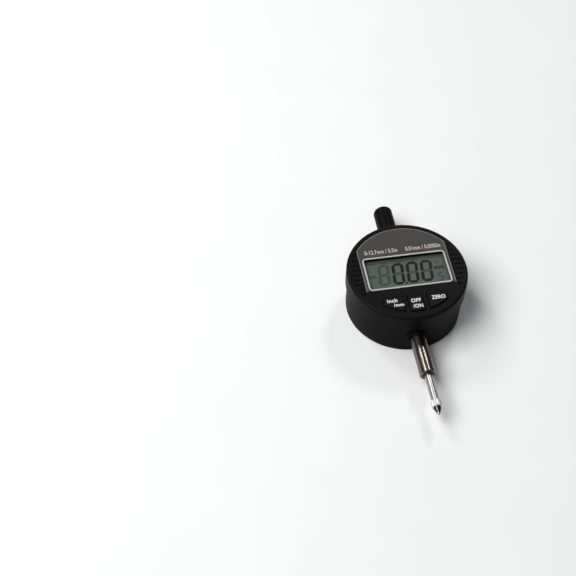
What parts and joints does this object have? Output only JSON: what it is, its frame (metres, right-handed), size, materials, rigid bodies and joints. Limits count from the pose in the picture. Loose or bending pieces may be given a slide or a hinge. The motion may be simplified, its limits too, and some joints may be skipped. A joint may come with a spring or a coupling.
{
  "type": "dial indicator",
  "caption": "Digital dial indicator with a round black case, a display, three keys, a ground stem, a sliding spindle, a dust cap and a flat back.",
  "frame": {"origin": "centre of the flat back cover's outer face, on the case's axis", "axes": "+Z out of the display, -Y along the spindle towards the contact point, +X to the right of the display"},
  "size_m": [0.06, 0.1285, 0.0273],
  "materials": {
    "black_plastic": "fine moulded grain, satin black",
    "dark_plastic": "moulded, satin",
    "light_plastic": "natural nylon",
    "label_print": "printed film, satin",
    "bright_line": "bright satin",
    "clear_lens": "clear, polished",
    "display_glass": "reflective grey-green display",
    "zebra_rubber": "soft, layered",
    "key_rubber": "slightly rough",
    "membrane_rubber": "soft silicone",
    "board_laminate": "green laminate",
    "chip_resin": "poured resin",
    "tin_can": "tinned",
    "zinc_steel": "zinc plated",
    "black_metal": "fine textured black",
    "black_steel": "blackened",
    "cell_steel": "nickel plated",
    "contact_brass": "plated",
    "ground_steel": "fine ground, bright",
    "bush_bronze": "turned",
    "cap_metal": "smooth, satin black",
    "milled_aluminium": "milled",
    "spring_steel": "drawn",
    "spindle_steel": "hardened and ground",
    "contact_steel": "turned and knurled",
    "ball_steel": "polished"
  },
  "bodies": {
    "case": {"front_housing": "black_plastic", "face_label": "label_print", "display_frame": "bright_line", "window_lens": "clear_lens", "lcd_glass": "display_glass", "display_holder": "dark_plastic", "zebra_strips": "zebra_rubber", "keypad_membrane": "membrane_rubber", "main_board": "board_laminate", "controller_chip": "chip_resin", "quartz_crystal": "tin_can", "board_screws": "zinc_steel", "sensor_board": "board_laminate", "board_spacers": "light_plastic", "board_connector": "dark_plastic", "rear_housing": "black_metal", "case_screws": "zinc_steel", "back_cover": "black_metal", "back_screws": "black_steel", "battery_holder": "dark_plastic", "battery_cell": "cell_steel", "battery_contact_plus": "contact_brass", "battery_contact_minus": "contact_brass", "stem": "ground_steel", "lower_bush": "bush_bronze", "upper_bush": "bush_bronze", "dust_cap": "cap_metal", "stop_washer": "light_plastic", "guide_rail": "milled_aluminium", "rail_screws": "zinc_steel", "return_spring": "spring_steel"},
    "spindle_group": {"spindle": "spindle_steel", "contact_point": "contact_steel", "contact_ball": "ball_steel", "scale_carrier": "milled_aluminium", "scale_strip": "board_laminate", "carrier_screws": "black_steel", "guide_pin": "spring_steel"},
    "unit_key": {"unit_key": "key_rubber"},
    "power_key": {"power_key": "key_rubber"},
    "zero_key": {"zero_key": "key_rubber"},
    "battery_cap": {"battery_cap": "dark_plastic"}
  },
  "joints": [
    {"name": "spindle_slide", "type": "slide", "parent": "case", "child": "spindle_group", "axis": [0, 1, 0], "range_m": [0, 0.0127], "stiffness_N_per_m": 25, "springref_m": -0.04, "deforming": ["return_spring"]},
    {"name": "unit_key_press", "type": "slide", "parent": "case", "child": "unit_key", "axis": [0, 0, -1], "range_m": [0, 0.0006], "stiffness_N_per_m": 1200, "springref_m": -0.0003},
    {"name": "power_key_press", "type": "slide", "parent": "case", "child": "power_key", "axis": [0, 0, -1], "range_m": [0, 0.0006], "stiffness_N_per_m": 1200, "springref_m": -0.0003},
    {"name": "zero_key_press", "type": "slide", "parent": "case", "child": "zero_key", "axis": [0, 0, -1], "range_m": [0, 0.0006], "stiffness_N_per_m": 1200, "springref_m": -0.0003},
    {"name": "battery_cap_turn", "type": "hinge", "parent": "case", "child": "battery_cap", "pos_m": [0.0175, 0.006, 0.001], "axis": [0, 0, -1], "range_deg": [0, 60]}
  ]
}
